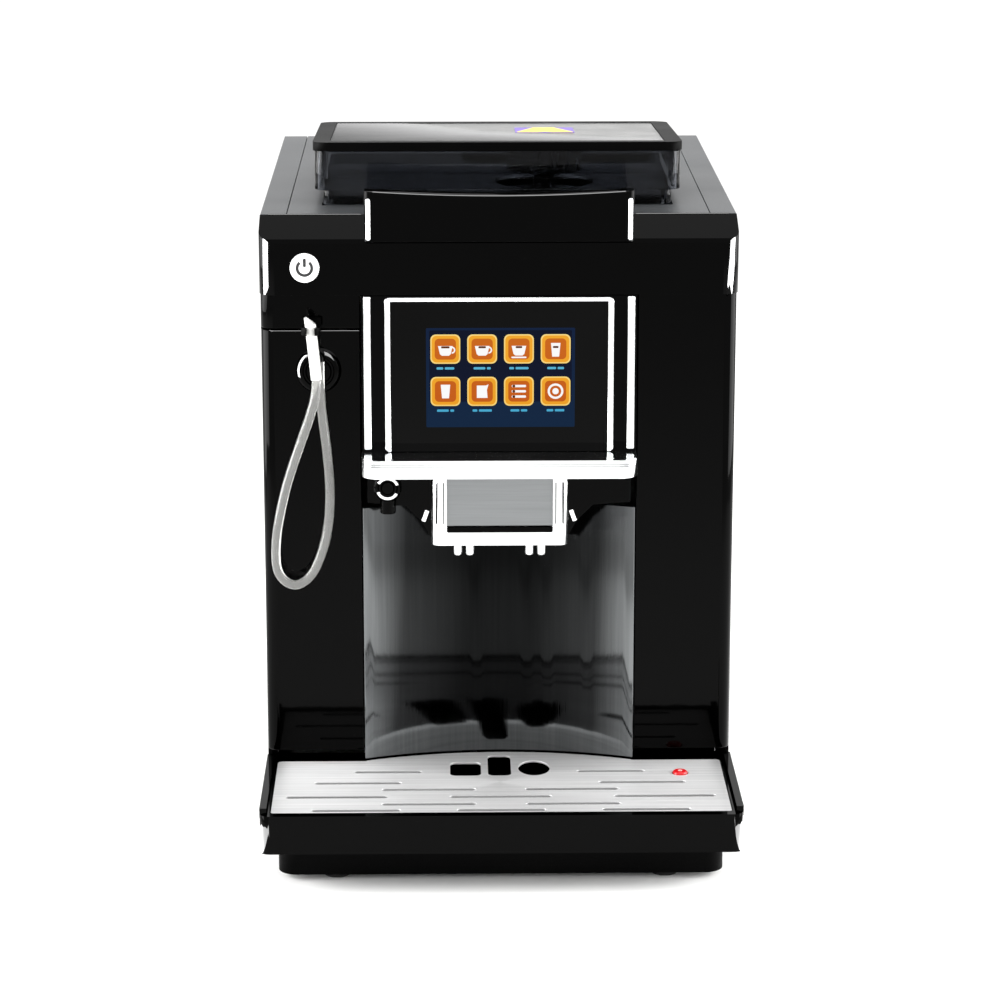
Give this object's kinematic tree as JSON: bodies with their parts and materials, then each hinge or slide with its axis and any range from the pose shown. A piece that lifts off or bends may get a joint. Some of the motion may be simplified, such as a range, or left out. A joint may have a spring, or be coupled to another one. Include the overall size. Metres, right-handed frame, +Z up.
{
  "type": "bean-to-cup coffee machine",
  "caption": "Countertop bean-to-cup coffee machine with touch screen, sliding spout over a cup niche, drip tray, bean hopper, water tank and milk tube.",
  "frame": {"origin": "middle of the footprint box of casing and drip tray, on the surface the feet stand on", "axes": "+X to the right seen from the front, front faces -Y, +Z up"},
  "size_m": [0.302, 0.48, 0.45],
  "materials": {
    "gloss_black_abs": "polished injection-moulded ABS",
    "satin_black_abs": "fine spark-eroded ABS",
    "silver_abs": "painted silver-grey ABS",
    "chrome_plate": "decorative chrome plating on ABS",
    "brushed_stainless": "vertical brushed stainless sheet",
    "polished_stainless": "polished stainless sheet",
    "screen_glass": "black printed touch glass",
    "lcd_module": "colour display module",
    "circuit_board": "solder-masked glass-fibre board",
    "lamp_lens": "frosted lamp lens",
    "button_cap": "back-lit white key cap",
    "rubber_foot": "moulded rubber",
    "silicone_tube": "clear silicone extrusion",
    "suction_pipe": "translucent polypropylene",
    "smoke_plastic": "smoked transparent styrene acrylonitrile",
    "lid_smoke": "smoked transparent lid panel",
    "galvanised_steel": "galvanised sheet",
    "rear_steel": "black powder-coated sheet",
    "cast_aluminium": "die-cast aluminium",
    "motor_steel": "plated motor can",
    "burr_steel": "hardened steel",
    "knob_nylon": "glass-filled nylon",
    "steel_pin": "ground stainless pin",
    "brew_nylon": "dark glass-filled nylon",
    "piston_acetal": "natural acetal",
    "gear_acetal": "natural acetal",
    "brass": "machined brass",
    "flow_body": "natural polypropylene",
    "hose_silicone": "silicone hose",
    "tank_plastic": "clear tinted tank",
    "rocker_red": "red nylon rocker",
    "zinc_screw": "zinc-plated screw",
    "float_red": "red polypropylene float"
  },
  "bodies": {
    "chassis": {"base_pan": "satin_black_abs", "feet": "rubber_foot", "left_side_panel": "satin_black_abs", "right_side_panel": "satin_black_abs", "side_rails": "silver_abs", "top_cover": "silver_abs", "rear_panel": "rear_steel", "front_band": "gloss_black_abs", "hood": "gloss_black_abs", "chrome_strips": "chrome_plate", "display_housing": "gloss_black_abs", "display_bezel": "chrome_plate", "display_glass": "screen_glass", "display_panel": "lcd_module", "control_board": "circuit_board", "chrome_visor": "chrome_plate", "spout_carrier": "gloss_black_abs", "cup_lights": "lamp_lens", "hot_water_outlet": "gloss_black_abs", "left_front_panel": "gloss_black_abs", "left_upper_panel": "gloss_black_abs", "right_front_panel": "gloss_black_abs", "backsplash": "brushed_stainless", "milk_port": "gloss_black_abs", "tube_clip": "satin_black_abs", "milk_tube": "silicone_tube", "suction_tip": "suction_pipe", "inner_frame": "galvanised_steel", "bean_hopper": "smoke_plastic", "grinder_body": "cast_aluminium", "grinder_motor": "motor_steel", "lid_pin": "steel_pin", "brew_frame": "brew_nylon", "gear_motor": "motor_steel", "boiler": "cast_aluminium", "pump": "brass", "flow_meter": "flow_body", "hoses": "hose_silicone", "tank_seat": "brew_nylon", "mains_inlet": "knob_nylon", "panel_screws": "zinc_screw"},
    "power_key": {"power_button": "button_cap"},
    "coffee_spout": {"spout_shell": "chrome_plate", "spout_face": "brushed_stainless", "spout_nozzles": "chrome_plate"},
    "drip_drawer": {"drip_tray": "gloss_black_abs"},
    "cup_grille": {"drip_grille": "polished_stainless"},
    "level_float": {"tray_float": "float_red"},
    "grounds_bin": {"grounds_drawer": "satin_black_abs"},
    "side_door": {"service_door": "satin_black_abs"},
    "mains_rocker": {"rocker_switch": "rocker_red"},
    "hopper_lid": {"lid_frame": "satin_black_abs", "lid_window": "lid_smoke"},
    "grind_dial": {"grinder_knob": "knob_nylon"},
    "lower_burr": {"burr": "burr_steel"},
    "tank": {"water_tank": "tank_plastic"},
    "tank_cover": {"tank_lid": "satin_black_abs"},
    "piston": {"brew_piston": "piston_acetal"},
    "screw_gear": {"brew_gear": "gear_acetal"},
    "pinion": {"motor_pinion": "brass"}
  },
  "joints": [
    {"name": "spout_height", "type": "slide", "parent": "chassis", "child": "coffee_spout", "axis": [0, 0, -1], "range_m": [0, 0.055]},
    {"name": "tray_slide", "type": "slide", "parent": "chassis", "child": "drip_drawer", "axis": [0, -1, 0], "range_m": [0, 0.145]},
    {"name": "grille_lift", "type": "slide", "parent": "drip_drawer", "child": "cup_grille", "axis": [0, 0, 1], "range_m": [0, 0.06]},
    {"name": "float_rise", "type": "slide", "parent": "drip_drawer", "child": "level_float", "axis": [0, 0, 1], "range_m": [0, 0.006]},
    {"name": "grounds_slide", "type": "slide", "parent": "chassis", "child": "grounds_bin", "axis": [-1, 0, 0], "range_m": [0, 0.135]},
    {"name": "door_hinge", "type": "hinge", "parent": "chassis", "child": "side_door", "pos_m": [-0.1482, 0.082, 0.2425], "axis": [0, 0, -1], "range_deg": [0, 100]},
    {"name": "power_press", "type": "slide", "parent": "chassis", "child": "power_key", "axis": [0, 1, 0], "range_m": [0, 0.0015], "stiffness_N_per_m": 600},
    {"name": "rocker_tilt", "type": "hinge", "parent": "chassis", "child": "mains_rocker", "pos_m": [0.114, 0.2356, 0.06], "axis": [-1, 0, 0], "range_deg": [0, 16]},
    {"name": "lid_hinge", "type": "hinge", "parent": "chassis", "child": "hopper_lid", "pos_m": [0, 0.0915, 0.4345], "axis": [-1, 0, 0], "range_deg": [0, 88]},
    {"name": "grind_adjust", "type": "hinge", "parent": "chassis", "child": "grind_dial", "pos_m": [0.032, 0.004, 0.42], "axis": [0, 0, 1], "range_deg": [-120, 120]},
    {"name": "burr_spin", "type": "hinge", "parent": "chassis", "child": "lower_burr", "pos_m": [0.032, 0.004, 0.36], "axis": [0, 0, 1], "continuous": true},
    {"name": "tank_lift", "type": "slide", "parent": "chassis", "child": "tank", "axis": [0, 0, 1], "range_m": [0, 0.2]},
    {"name": "tank_lid_hinge", "type": "hinge", "parent": "tank", "child": "tank_cover", "pos_m": [0.048, 0.229, 0.412], "axis": [-1, 0, 0], "range_deg": [0, 100]},
    {"name": "gear_turn", "type": "hinge", "parent": "chassis", "child": "screw_gear", "pos_m": [-0.09, 0, 0.33], "axis": [0, 0, 1], "range_deg": [0, 1351]},
    {"name": "piston_stroke", "type": "slide", "parent": "chassis", "child": "piston", "axis": [0, 0, -1], "range_m": [0, 0.03]},
    {"name": "pinion_turn", "type": "hinge", "parent": "chassis", "child": "pinion", "pos_m": [-0.066, 0, 0.33], "axis": [0, 0, 1], "range_deg": [-4053, 0]}
  ],
  "couplings": [
    {"joint": "gear_turn", "follows": "piston_stroke", "rad_per_m": 785.4},
    {"joint": "pinion_turn", "follows": "piston_stroke", "rad_per_m": -2356.2}
  ]
}
